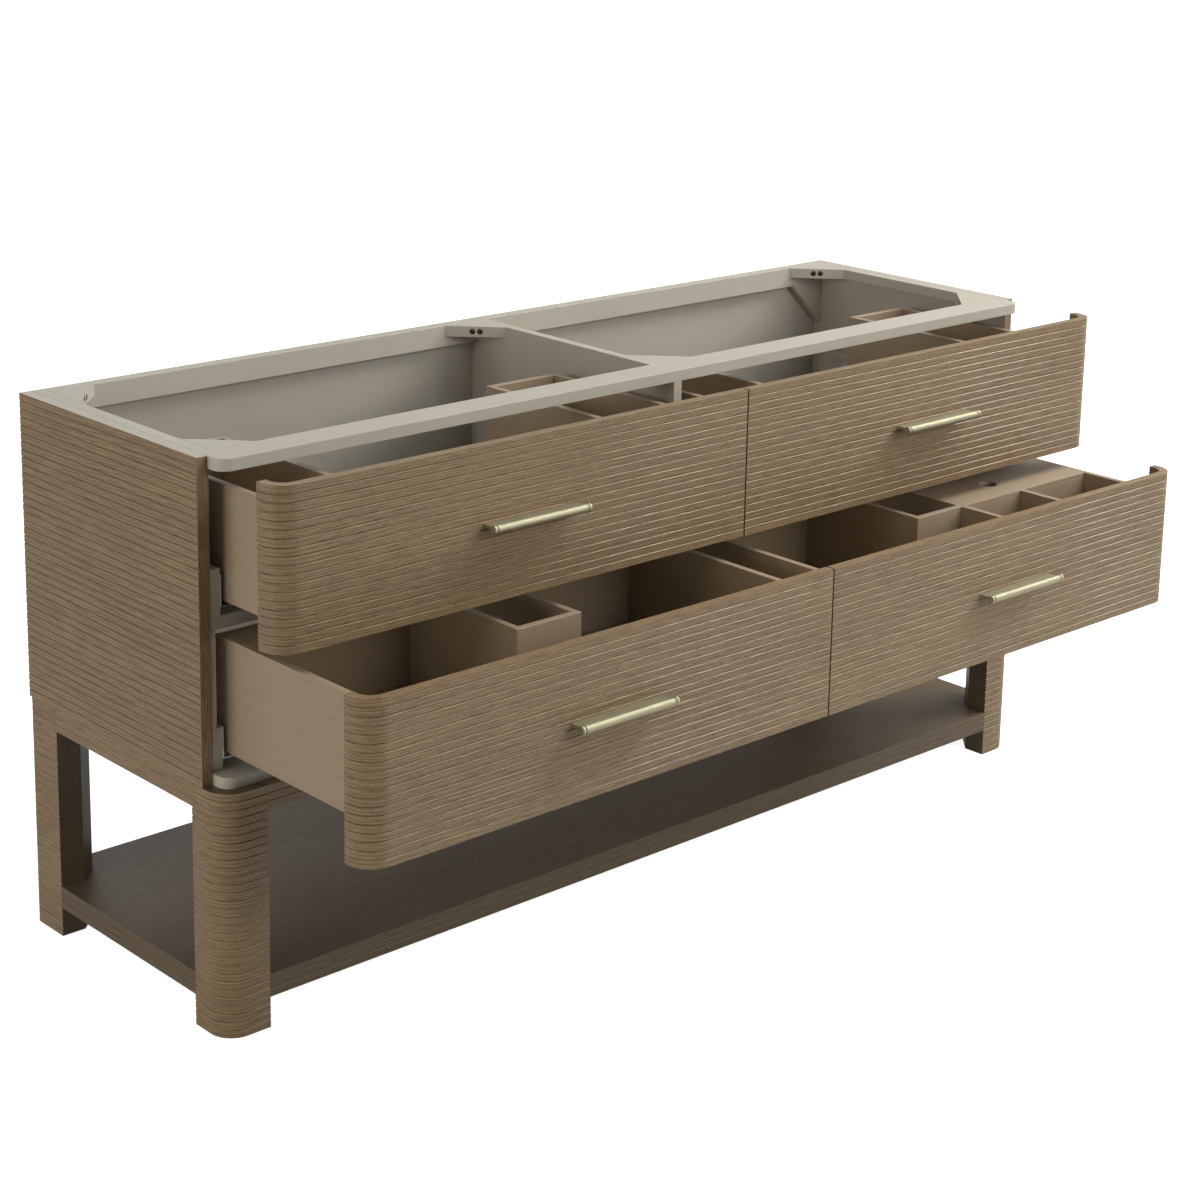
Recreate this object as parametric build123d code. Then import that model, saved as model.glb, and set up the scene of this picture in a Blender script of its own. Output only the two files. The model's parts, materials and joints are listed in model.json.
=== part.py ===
from build123d import *
import os

# Double bathroom vanity cabinet: open top frame, four wrap-around reeded drawers, four legs and a
# low shelf. Millimetres, +Z up, drawer fronts face -Y. The origin is on the floor under the middle
# of the footprint, with the drawers open as they stand at rest. Depths are counted backward from
# the plane of the closed drawer fronts.

# Overall cabinet
WIDTH = 1829.0
DEPTH = 542.0
HEIGHT = 883.0

# Carcass boards
CARCASS_BOTTOM = 386.0      # height of the underside of the bottom panel, on top of the legs
SIDE_THICKNESS = 20.0
SIDE_GAP = 3.0              # between a closed drawer front and the side panel behind it
BOARD = 18.0                # bottom panel, centre partition and back stretcher
RAIL_THICKNESS = 19.0       # top rails and corner gussets
FRONT_RAIL_BACK = 76.0      # front plane to the inner edge of the front top rail
SIDE_RAIL_WIDTH = 21.0
STRETCHER_HEIGHT = 38.0
BACK_THICKNESS = 6.0
MID_RAIL_THICKNESS = 20.0
MID_RAIL_DEPTH = 60.0
GUSSET_LEG = 78.0
BRACE_LEG = 86.0
LINER_THICKNESS = 9.0
BLOCK_THICKNESS = 19.5
BLOCK_INSET = 4.0           # front edge of a side panel to the front end of its runner block
BLOCK_BACK_GAP = 36.0       # back end of a runner block to the back panel
UPPER_BLOCK_HEIGHT = 72.0
LOWER_BLOCK_HEIGHT = 66.0

# Pocket screws in the gussets
POCKET_RADIUS = 5.4
POCKET_DEPTH = 20.0
POCKET_SPACING = 13.6
SCREW_HEAD_RADIUS = 4.6
SCREW_HEAD_HEIGHT = 3.0
SCREW_SHANK_RADIUS = 2.0
SCREW_LENGTH = 26.0

# Reeding: V grooves running round every outer face
REED_PITCH = 12.8
GROOVE_WIDTH = 2.4
GROOVE_DEPTH = 1.5
CORNER_RADIUS = 40.0        # outer front corners of drawers, front legs, rail and bottom panel
BACK_CORNER_RADIUS = 10.0

# Legs, aprons and shelf
LEG_SIZE = 80.0
LEG_CHAMFER = 38.0
LEG_SKIN_SHARE = 0.6        # reeded skin of a leg, as a share of its corner radius
APRON_HEIGHT = 37.0
APRON_SEAT = 2.0            # how far the bottom panel reaches over the top of the front apron
SHELF_TOP = 86.0
SHELF_THICKNESS = 37.0

# Drawer fronts
FRONT_THICKNESS = 16.0
FRONT_STRAIGHT = 8.0        # flat part of the side return, behind the rounded corner
FRONT_CLEARANCE = 2.0       # closed front to the carcass, and fronts to the top and the aprons
ROW_GAP = 7.0               # between the upper and the lower fronts
CENTRE_GAP = 3.0

# Drawer boxes
BOX_WALL = 12.0
BOX_SHORTER = 67.0          # height of a front less the height of its box
BOX_BACK_GAP = 118.0        # back of a closed drawer box to the back of the cabinet
BOX_SIDE_GAP = 28.0         # carcass wall to the outside of a drawer box
BOX_BOTTOM_THICKNESS = 6.0
BOX_BOTTOM_RECESS = 14.0
UPPER_BOX_LIFT = 21.0       # underside of the front to the underside of its box
LOWER_BOX_LIFT = 39.0
WING_WIDTH = 154.0          # upper box either side of the sink cut-out
UPPER_NOTCH_FRONT = 130.0   # front plane to the cut-out for the sink
LOWER_NOTCH_FRONT = 158.0   # front plane to the cut-out for the waste pipe
LOWER_NOTCH_WIDTH = 128.0
TRAY_THICKNESS = 8.0
TRAY_HOLE_RADIUS = 16.0
TRAY_HOLE_DEPTH = 221.0     # front plane to the middle of the hole in the tray
TRAY_HOLE_INSET = 212.0     # outside of the box to the middle of the hole
CELL_DIVIDER_INSET = 194.0  # outside of the box to the divider between the two front cells

# Concealed runners under each box
RUNNER_SHEET = 1.6
RUNNER_SHORTER = 39.0       # length of a runner block less the length of its runner
RUNNER_WIDTH = 24.0
RUNNER_FLANGE_HEIGHT = 48.0
RUNNER_PLAY = 0.4
SLIDE_THICKNESS = 4.0
SLIDE_WIDTH = 18.0
SLIDE_SHORTER = 46.0        # length of a runner less the length of its middle slide
RUNNER_STOP = 6.0           # length of a runner less the full extension of its drawer

# How far each row of drawers stands open at rest
UPPER_OPEN = 143.0
LOWER_LEFT_IN = 60.0        # full extension less the opening of a lower drawer

# Bar handles
HANDLE_LENGTH = 190.0
HANDLE_RADIUS = 6.2
HANDLE_STANDOFF = 26.0
WEB_THICKNESS = 5.0
NECK_RADIUS = 5.2
NECK_WIDTH = 1.4
BEAD_RADIUS = 6.9
BEAD_WIDTH = 5.0
RING_WIDTH = 2.0
PEG_SPACING = 128.0
PEG_RADIUS = 2.2
PEG_DEPTH = 8.0

# Values worked out from the sizes above
HALF = WIDTH / 2
INNER = HALF - SIDE_THICKNESS
RAIL_END = HALF - FRONT_THICKNESS - FRONT_CLEARANCE
CARCASS_FRONT = FRONT_THICKNESS + FRONT_CLEARANCE
APRON_THICKNESS = CARCASS_FRONT + APRON_SEAT
BACK_FACE = DEPTH - BACK_THICKNESS
STRETCHER_FRONT = BACK_FACE - BOARD
FLOOR_TOP = CARCASS_BOTTOM + BOARD
RAIL_BOTTOM = HEIGHT - RAIL_THICKNESS
STRETCHER_BOTTOM = HEIGHT - STRETCHER_HEIGHT
FRONT_HEIGHT = (HEIGHT - CARCASS_BOTTOM - 2 * FRONT_CLEARANCE - ROW_GAP) / 2
LOWER_FRONT_BOTTOM = CARCASS_BOTTOM + FRONT_CLEARANCE
UPPER_FRONT_BOTTOM = HEIGHT - FRONT_CLEARANCE - FRONT_HEIGHT
FRONT_RETURN = CORNER_RADIUS + FRONT_STRAIGHT
MID_RAIL_TOP = UPPER_FRONT_BOTTOM + FRONT_CLEARANCE
MID_RAIL_BOTTOM = MID_RAIL_TOP - MID_RAIL_THICKNESS
SIDE_RAIL_INNER = INNER - SIDE_RAIL_WIDTH
SIDE_SETBACK = FRONT_RETURN + SIDE_GAP
BLOCK_SETBACK = SIDE_SETBACK + BLOCK_INSET
BLOCK_END = BACK_FACE - BLOCK_BACK_GAP
RUNNER_LENGTH = BLOCK_END - BLOCK_SETBACK - RUNNER_SHORTER
SLIDE_LENGTH = RUNNER_LENGTH - SLIDE_SHORTER
TRAVEL = RUNNER_LENGTH - RUNNER_STOP
LOWER_OPEN = TRAVEL - LOWER_LEFT_IN
BOX_OUTER = INNER - BOX_SIDE_GAP
BOX_INNER = BOARD / 2 + BOX_SIDE_GAP
BOX_WIDTH = BOX_OUTER - BOX_INNER
BOX_HEIGHT = FRONT_HEIGHT - BOX_SHORTER
BOX_BACK = DEPTH - BOX_BACK_GAP
UPPER_BOX_BOTTOM = UPPER_FRONT_BOTTOM + UPPER_BOX_LIFT
LOWER_BOX_BOTTOM = LOWER_FRONT_BOTTOM + LOWER_BOX_LIFT
LOWER_WING = (BOX_WIDTH - LOWER_NOTCH_WIDTH) / 2 + BOX_WALL
FRONT_MOST = LOWER_OPEN + HANDLE_STANDOFF + BEAD_RADIUS
ORIGIN_DEPTH = (DEPTH - FRONT_MOST) / 2


def board(x0, x1, y0, y1, z0, z1):
    """A rectangular board between two opposite corners."""
    return Pos((x0 + x1) / 2, (y0 + y1) / 2, (z0 + z1) / 2) * Box(abs(x1 - x0), abs(y1 - y0), abs(z1 - z0))


def prism(outline, z0, z1):
    """A board with any plan outline, standing between two heights."""
    return extrude(Plane.XY.offset(z0) * make_face(Polyline(*outline, close=True)), amount=z1 - z0)


def group(shapes):
    """Several separate solids kept together as one node."""
    return Compound([solid for shape in shapes for solid in shape.solids()])


def both_sides(shape):
    """The shape and its mirror image in the middle plane of the cabinet."""
    return group([shape, mirror(shape, about=Plane.YZ)])


def reed_outline(z0, z1, thickness):
    """Section of a reeded board: grooves on the face at 0, plain at the back."""
    count = max(1, round((z1 - z0) / REED_PITCH))
    pitch = (z1 - z0) / count
    outline = [(thickness, z0), (0, z0)]
    for i in range(1, count):
        z = z0 + i * pitch
        outline += [(0, z - GROOVE_WIDTH / 2), (GROOVE_DEPTH, z), (0, z + GROOVE_WIDTH / 2)]
    return make_face(Polyline(*outline, (0, z1), (thickness, z1), close=True))


def reeded_facing_front(x0, x1, y, z0, z1, thickness):
    """A straight reeded board whose grooved face looks forward."""
    plane = Plane(origin=(x0, y, 0), x_dir=(0, 1, 0), z_dir=(1, 0, 0))
    return extrude(plane * reed_outline(z0, z1, thickness), amount=x1 - x0)


def reeded_facing_left(y0, y1, x, z0, z1, thickness):
    """A straight reeded board whose grooved face looks to the left."""
    plane = Plane(origin=(x, y1, 0), x_dir=(1, 0, 0), z_dir=(0, -1, 0))
    return extrude(plane * reed_outline(z0, z1, thickness), amount=y1 - y0)


def reeded_wrap(x_end, length, z0, z1, thickness, radius):
    """A reeded skin round the left front corner: along the front to x_end, and back by length."""
    middle = -HALF + radius
    front = reeded_facing_front(middle, x_end, 0, z0, z1, thickness)
    side = reeded_facing_left(radius, length, -HALF, z0, z1, thickness)
    plane = Plane(origin=(middle, 0, 0), x_dir=(0, 1, 0), z_dir=(1, 0, 0))
    turn = Axis((middle, radius, 0), (0, 0, -1))
    corner = revolve(plane * reed_outline(z0, z1, thickness), axis=turn, revolution_arc=90)
    return front + corner + side


def rounded_plan(x_end, side_x, y0, y_step, y1, radius):
    """Plan of a panel whose rounded front reaches x_end and whose back reaches side_x."""
    panel = Rectangle(2 * x_end, y_step - y0)
    front = fillet(panel.vertices().group_by(Axis.Y)[0], radius)
    return Pos(0, (y0 + y_step) / 2) * front + Pos(0, (y_step + y1) / 2) * Rectangle(2 * side_x, y1 - y_step)


def triangle(corner_x, corner_y, leg_x, leg_y):
    """Right-angled plan with its corner at a point; signed legs say where it points."""
    return [(corner_x, corner_y), (corner_x + leg_x, corner_y), (corner_x, corner_y + leg_y)]


def gusset(corner_x, corner_y, side, way):
    """Corner gusset with two pocket holes, and the screws in them.

    side and way are the signs of X and Y along which the gusset spreads from its corner.
    """
    leg = GUSSET_LEG
    body = prism(triangle(corner_x, corner_y, side * leg, way * leg), RAIL_BOTTOM, HEIGHT)
    screws = []
    for shift in (-POCKET_SPACING / 2, POCKET_SPACING / 2):
        along = shift * 0.5 ** 0.5
        x = corner_x + side * (leg / 2 + along)
        y = corner_y + way * (leg / 2 - along)
        mouth = Plane(origin=(x, y, HEIGHT - RAIL_THICKNESS / 2), z_dir=(-side, -way, 0))
        body -= mouth * Pos(0, 0, POCKET_DEPTH / 2) * Cylinder(POCKET_RADIUS, POCKET_DEPTH)
        seat = POCKET_DEPTH - SCREW_HEAD_HEIGHT / 2
        head = mouth * Pos(0, 0, seat) * Cylinder(SCREW_HEAD_RADIUS, SCREW_HEAD_HEIGHT)
        middle = POCKET_DEPTH + SCREW_LENGTH / 2 - SCREW_HEAD_HEIGHT
        shank = mouth * Pos(0, 0, middle) * Cylinder(SCREW_SHANK_RADIUS, SCREW_LENGTH)
        body -= shank
        screws.append(head + shank)
    return body, screws


def leg(front):
    """Left leg, reeded on its two outer faces, with the inner corner cut away."""
    radius = CORNER_RADIUS if front else BACK_CORNER_RADIUS
    skin = LEG_SKIN_SHARE * radius
    wrap = reeded_wrap(-HALF + LEG_SIZE, LEG_SIZE, 0, CARCASS_BOTTOM, skin, radius)
    core = Rectangle(LEG_SIZE - skin, LEG_SIZE - skin, align=(Align.MIN, Align.MIN))
    core = fillet(core.vertices().sort_by_distance((0, 0, 0))[0], radius - skin)
    core = chamfer(core.vertices().sort_by_distance((0, 0, 0))[-1], LEG_CHAMFER)
    post = wrap + extrude(Pos(-HALF + skin, skin) * core, amount=CARCASS_BOTTOM)
    return post if front else mirror(post, about=Plane.XZ.offset(-DEPTH / 2))


def leg_cutter(corner_x, corner_y, side, way):
    """Plan of a leg as the shelf goes round it."""
    s, c = LEG_SIZE, LEG_SIZE - LEG_CHAMFER
    plan = [(0, 0), (s, 0), (s, c), (c, s), (0, s)]
    outline = [(corner_x + side * u, corner_y + way * v) for u, v in plan]
    return prism(outline, SHELF_TOP - SHELF_THICKNESS, SHELF_TOP)


def shelf():
    """Low shelf let in round the four legs, with the reeding carried along its edges."""
    bottom = SHELF_TOP - SHELF_THICKNESS
    slab = board(-HALF, HALF, 0, DEPTH, bottom, SHELF_TOP)
    count = round(SHELF_THICKNESS / REED_PITCH)
    half = GROOVE_WIDTH / 2
    for i in range(1, count):
        z = bottom + i * SHELF_THICKNESS / count
        notch = make_face(Polyline((0, z - half), (GROOVE_DEPTH, z), (0, z + half), close=True))
        front = extrude(Plane(origin=(-HALF, 0, 0), x_dir=(0, 1, 0), z_dir=(1, 0, 0)) * notch, amount=WIDTH)
        side = extrude(Plane(origin=(-HALF, DEPTH, 0), x_dir=(1, 0, 0), z_dir=(0, -1, 0)) * notch, amount=DEPTH)
        slab -= front + side + mirror(side, about=Plane.YZ)
    for side in (1, -1):
        slab -= leg_cutter(-side * HALF, 0, side, 1) + leg_cutter(-side * HALF, DEPTH, side, -1)
    return slab


def apron_side():
    """Left apron, between the front and back legs."""
    return reeded_facing_left(
        LEG_SIZE, DEPTH - LEG_SIZE, -HALF, CARCASS_BOTTOM - APRON_HEIGHT, CARCASS_BOTTOM, APRON_THICKNESS)


def apron_front():
    """Front apron, between the two front legs."""
    end = HALF - LEG_SIZE
    return reeded_facing_front(-end, end, 0, CARCASS_BOTTOM - APRON_HEIGHT, CARCASS_BOTTOM, APRON_THICKNESS)


def partition():
    """Centre partition, notched for the front rail and the back stretcher."""
    half = BOARD / 2
    panel = board(-half, half, CARCASS_FRONT, BACK_FACE, FLOOR_TOP, HEIGHT)
    panel -= board(-half, half, CARCASS_FRONT, FRONT_RAIL_BACK, RAIL_BOTTOM, HEIGHT)
    return panel - board(-half, half, STRETCHER_FRONT, BACK_FACE, STRETCHER_BOTTOM, HEIGHT)


def runner_blocks(z0, height):
    """Four blocks that bring the runners in line: at the side panels and at the partition."""
    outer = board(INNER - BLOCK_THICKNESS, INNER, BLOCK_SETBACK, BLOCK_END, z0, z0 + height)
    inner = board(BOARD / 2, BOARD / 2 + BLOCK_THICKNESS, BLOCK_SETBACK, BLOCK_END, z0, z0 + height)
    return group([both_sides(outer), both_sides(inner)])


def cabinet_members(box_bottom):
    """Fixed runner members: angles screwed to the blocks, with a ledge under the box."""
    y0, y1 = BLOCK_SETBACK, BLOCK_SETBACK + RUNNER_LENGTH
    top = box_bottom - SLIDE_THICKNESS - 3 * RUNNER_PLAY
    ledge = BOX_SIDE_GAP - BLOCK_THICKNESS + BOX_WALL + RUNNER_WIDTH
    members = []
    for face, inward in ((INNER - BLOCK_THICKNESS, -1), (BOARD / 2 + BLOCK_THICKNESS, 1)):
        flange = board(face, face + inward * RUNNER_SHEET, y0, y1, top - RUNNER_SHEET, top + RUNNER_FLANGE_HEIGHT)
        shelf_plate = board(face, face + inward * ledge, y0, y1, top - RUNNER_SHEET, top)
        members.append(both_sides(flange + shelf_plate))
    return group(members)


def runner_centres(side):
    """X of the two runners of one drawer; side is -1 for the left bay and 1 for the right."""
    inset = BOX_WALL + RUNNER_WIDTH / 2
    return [side * (BOX_INNER + inset), side * (BOX_OUTER - inset)]


def middle_members(side, box_bottom, opening):
    """Telescoping slides between the fixed members and the drawer's own channels."""
    z1 = box_bottom - 2 * RUNNER_PLAY
    y0 = BLOCK_SETBACK + RUNNER_PLAY - opening / 2
    slides = [
        board(x - SLIDE_WIDTH / 2, x + SLIDE_WIDTH / 2, y0, y0 + SLIDE_LENGTH, z1 - SLIDE_THICKNESS, z1)
        for x in runner_centres(side)]
    return group(slides)


def drawer_channels(side, box_bottom, opening):
    """Inverted channels fixed under the drawer bottom."""
    y0, y1 = FRONT_THICKNESS + BOX_WALL - opening, BOX_BACK - opening
    z0, z1 = box_bottom - RUNNER_PLAY, box_bottom + BOX_BOTTOM_RECESS
    channels = []
    for x in runner_centres(side):
        half = RUNNER_WIDTH / 2
        channel = board(x - half, x + half, y0, y1, z0, z1)
        web = half - RUNNER_SHEET
        channels.append(channel - board(x - web, x + web, y0, y1, z0, z1 - RUNNER_SHEET))
    return group(channels)


def drawer_front(side, z0, opening):
    """Reeded front that wraps round the outer corner of the cabinet."""
    front = reeded_wrap(-CENTRE_GAP / 2, FRONT_RETURN, z0, z0 + FRONT_HEIGHT, FRONT_THICKNESS, CORNER_RADIUS)
    front = front if side < 0 else mirror(front, about=Plane.YZ)
    return Pos(0, -opening, 0) * front


def handle(side, z0, opening):
    """Round bar on a thin web, with a bead and a ring at each end, and the two pegs that hold it."""
    x = side * (HALF + CENTRE_GAP / 2) / 2
    z = z0 + FRONT_HEIGHT / 2
    along = Plane(origin=(x, -HANDLE_STANDOFF - opening, z), z_dir=(1, 0, 0))
    full = HANDLE_LENGTH / 2 - BEAD_WIDTH - NECK_WIDTH
    web = HANDLE_LENGTH / 2 - BEAD_WIDTH
    body = along * Cylinder(NECK_RADIUS, HANDLE_LENGTH) + along * Cylinder(HANDLE_RADIUS, 2 * full)
    body += board(
        x - web, x + web, -HANDLE_STANDOFF - opening, -opening, z - WEB_THICKNESS / 2, z + WEB_THICKNESS / 2)
    pegs = []
    for end in (-1, 1):
        bead = HANDLE_LENGTH / 2 - BEAD_WIDTH / 2
        ring = full - RING_WIDTH / 2
        body += along * Pos(0, 0, end * bead) * Cylinder(BEAD_RADIUS, BEAD_WIDTH)
        body += along * Pos(0, 0, end * ring) * Cylinder(BEAD_RADIUS, RING_WIDTH)
        foot = Plane(origin=(x + end * PEG_SPACING / 2, -opening, z), z_dir=(0, 1, 0))
        pegs.append(foot * Pos(0, 0, PEG_DEPTH / 2) * Cylinder(PEG_RADIUS, PEG_DEPTH))
        body += pegs[-1]
    return body, pegs


class BoxBoards:
    """The boards of one drawer box, in the left bay's frame; side places them in either bay."""

    def __init__(self, side, box_bottom, opening, wing, notch_front):
        self.wing = wing
        self.notch_front = notch_front - opening
        self.left = -BOX_OUTER if side < 0 else BOX_INNER
        self.right = self.left + BOX_WIDTH
        self.front = FRONT_THICKNESS - opening
        self.back = BOX_BACK - opening
        self.z0 = box_bottom
        self.z1 = box_bottom + BOX_HEIGHT
        self.floor = box_bottom + BOX_BOTTOM_RECESS + BOX_BOTTOM_THICKNESS

    def upright(self, x0, x1, y0, y1, z1=None):
        """A wall that stands on the drawer's floor."""
        return board(x0, x1, y0, y1, self.floor, z1 or self.z1)

    def sides(self):
        """The two long sides."""
        pair = [board(x, x + BOX_WALL, self.front, self.back, self.z0, self.z1)
                for x in (self.left, self.right - BOX_WALL)]
        return group(pair)

    def ends(self):
        """Inner front behind the reeded front, and the two short backs beside the cut-out."""
        x0, x1 = self.left + BOX_WALL, self.right - BOX_WALL
        inner_front = board(x0, x1, self.front, self.front + BOX_WALL, self.z0, self.z1)
        backs = [self.upright(a, b, self.back - BOX_WALL, self.back)
                 for a, b in ((x0, self.left + self.wing - BOX_WALL), (self.right - self.wing + BOX_WALL, x1))]
        return group([inner_front] + backs)

    def notch_wall(self):
        """Wall round three sides of the cut-out."""
        x0, x1 = self.left + self.wing, self.right - self.wing
        y0 = self.notch_front
        across = self.upright(x0 - BOX_WALL, x1 + BOX_WALL, y0, y0 + BOX_WALL)
        left = self.upright(x0 - BOX_WALL, x0, y0 + BOX_WALL, self.back)
        right = self.upright(x1, x1 + BOX_WALL, y0 + BOX_WALL, self.back)
        return across + left + right

    def bottom(self):
        """Thin floor with the cut-out taken from its back edge."""
        z0, z1 = self.floor - BOX_BOTTOM_THICKNESS, self.floor
        panel = board(
            self.left + BOX_WALL, self.right - BOX_WALL, self.front + BOX_WALL, self.back, z0, z1)
        return panel - board(
            self.left + self.wing, self.right - self.wing, self.notch_front + BOX_WALL, self.back, z0, z1)

    def cell_dividers(self):
        """Walls that make a row of three cells in front of the tray."""
        y0 = self.front + BOX_WALL
        row_left, row_right = self.right - self.wing, self.right - BOX_WALL
        middle = self.right - CELL_DIVIDER_INSET
        tray_wall = self.upright(
            row_left + BOX_WALL, row_right, self.notch_front, self.notch_front + BOX_WALL,
            self.z1 - TRAY_THICKNESS)
        first = self.upright(row_left, row_left + BOX_WALL, y0, self.notch_front)
        second = self.upright(middle - BOX_WALL / 2, middle + BOX_WALL / 2, y0, self.notch_front)
        return group([tray_wall, first, second])

    def tray(self):
        """Flat tray behind the cells, level with the top of the box, with a round hole."""
        x0, x1 = self.right - self.wing + BOX_WALL, self.right - BOX_WALL
        z0 = self.z1 - TRAY_THICKNESS
        panel = board(x0, x1, self.notch_front, self.back - BOX_WALL, z0, self.z1)
        hole = Cylinder(TRAY_HOLE_RADIUS, TRAY_THICKNESS)
        hole_y = self.back - BOX_BACK + TRAY_HOLE_DEPTH
        return panel - Pos(self.right - TRAY_HOLE_INSET, hole_y, z0 + TRAY_THICKNESS / 2) * hole


def save(name, shape):
    """Move a shape into the part's frame and write it as one node."""
    export_step(Pos(0, -ORIGIN_DEPTH, 0) * shape, f"parts/{name}.step")


def carcass():
    """Every fixed board, rail and leg, by node name."""
    side_panel = reeded_facing_left(
        SIDE_SETBACK, DEPTH, -HALF, CARCASS_BOTTOM, HEIGHT, SIDE_THICKNESS)
    corner = CORNER_RADIUS - FRONT_THICKNESS - FRONT_CLEARANCE
    plan = rounded_plan(RAIL_END, INNER, CARCASS_FRONT, SIDE_SETBACK, BACK_FACE, corner)
    rail_plan = rounded_plan(RAIL_END, INNER, CARCASS_FRONT, SIDE_SETBACK, FRONT_RAIL_BACK, corner)
    front_leg, back_leg = leg(True), leg(False)
    apron = apron_side()
    half = BOARD / 2
    gussets, screws = [], []
    for x, y, side, way in (
            (-SIDE_RAIL_INNER, STRETCHER_FRONT, 1, -1), (-SIDE_RAIL_INNER, FRONT_RAIL_BACK, 1, 1),
            (-half, STRETCHER_FRONT, -1, -1), (half, FRONT_RAIL_BACK, 1, 1),
            (SIDE_RAIL_INNER, STRETCHER_FRONT, -1, -1), (SIDE_RAIL_INNER, FRONT_RAIL_BACK, -1, 1)):
        body, pair = gusset(x, y, side, way)
        gussets.append(body)
        screws += pair
    brace = Plane(origin=(0, BACK_FACE, 0), x_dir=(1, 0, 0), z_dir=(0, -1, 0)) * make_face(
        Polyline(*triangle(-INNER, STRETCHER_BOTTOM, BRACE_LEG, -BRACE_LEG), close=True))
    mid_back = BLOCK_SETBACK + MID_RAIL_DEPTH
    lower_block_top = FLOOR_TOP + LOWER_BLOCK_HEIGHT
    return {
        "side_panel_left": side_panel,
        "side_panel_right": mirror(side_panel, about=Plane.YZ),
        "centre_partition": partition(),
        "bottom_panel": extrude(Plane.XY.offset(CARCASS_BOTTOM) * plan, amount=BOARD),
        "back_panel": board(-INNER, INNER, BACK_FACE, DEPTH, CARCASS_BOTTOM, HEIGHT),
        "front_top_rail": extrude(Plane.XY.offset(RAIL_BOTTOM) * rail_plan, amount=RAIL_THICKNESS),
        "back_top_stretcher": board(-INNER, INNER, STRETCHER_FRONT, BACK_FACE, STRETCHER_BOTTOM, HEIGHT),
        "side_top_rails": both_sides(
            board(-INNER, -SIDE_RAIL_INNER, FRONT_RAIL_BACK, STRETCHER_FRONT, RAIL_BOTTOM, HEIGHT)),
        "corner_gussets": group(gussets),
        "gusset_screws": group(screws),
        "back_corner_braces": both_sides(extrude(brace, amount=BOARD)),
        "mid_rails": both_sides(
            board(-INNER, -half, BLOCK_SETBACK, mid_back, MID_RAIL_BOTTOM, MID_RAIL_TOP)),
        "upper_runner_blocks": runner_blocks(MID_RAIL_TOP, UPPER_BLOCK_HEIGHT),
        "lower_runner_blocks": runner_blocks(FLOOR_TOP, LOWER_BLOCK_HEIGHT),
        "runner_angles": Compound(
            children=[cabinet_members(UPPER_BOX_BOTTOM), cabinet_members(LOWER_BOX_BOTTOM)]),
        "side_liners": both_sides(board(
            -INNER, -INNER + LINER_THICKNESS, BLOCK_SETBACK, BLOCK_END, lower_block_top, MID_RAIL_BOTTOM)),
        "leg_front_left": front_leg,
        "leg_front_right": mirror(front_leg, about=Plane.YZ),
        "leg_back_left": back_leg,
        "leg_back_right": mirror(back_leg, about=Plane.YZ),
        "apron_front": apron_front(),
        "apron_back": mirror(apron_front(), about=Plane.XZ.offset(-DEPTH / 2)),
        "apron_left": apron,
        "apron_right": mirror(apron, about=Plane.YZ),
        "low_shelf": shelf(),
    }


def drawer(side, front_bottom, box_bottom, wing, notch_front, opening):
    """Every node of one drawer and of its runners, by the last part of its name."""
    boards = BoxBoards(side, box_bottom, opening, wing, notch_front)
    bar, pegs = handle(side, front_bottom, opening)
    front = drawer_front(side, front_bottom, opening)
    for peg in pegs:
        front -= peg
    nodes = {
        "front": front,
        "handle": bar,
        "box_sides": boards.sides(),
        "box_ends": boards.ends(),
        "notch_wall": boards.notch_wall(),
        "box_bottom": boards.bottom(),
        "channels": drawer_channels(side, box_bottom, opening),
        "slides": middle_members(side, box_bottom, opening),
    }
    if side > 0 and front_bottom == LOWER_FRONT_BOTTOM:
        nodes["cell_dividers"] = boards.cell_dividers()
        nodes["tray"] = boards.tray()
    return nodes


os.makedirs("parts", exist_ok=True)
for node, shape in carcass().items():
    save(node, shape)
for row, front_bottom, box_bottom, wing, notch_front, opening in (
        ("upper", UPPER_FRONT_BOTTOM, UPPER_BOX_BOTTOM, WING_WIDTH, UPPER_NOTCH_FRONT, UPPER_OPEN),
        ("lower", LOWER_FRONT_BOTTOM, LOWER_BOX_BOTTOM, LOWER_WING, LOWER_NOTCH_FRONT, LOWER_OPEN)):
    for hand, side in (("left", -1), ("right", 1)):
        for node, shape in drawer(side, front_bottom, box_bottom, wing, notch_front, opening).items():
            save(f"{row}_{hand}_{node}", shape)
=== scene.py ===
import json
import math
import random

import bmesh
import bpy
from bpy.props import FloatProperty, FloatVectorProperty, PointerProperty
from mathutils import Matrix, Vector

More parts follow.
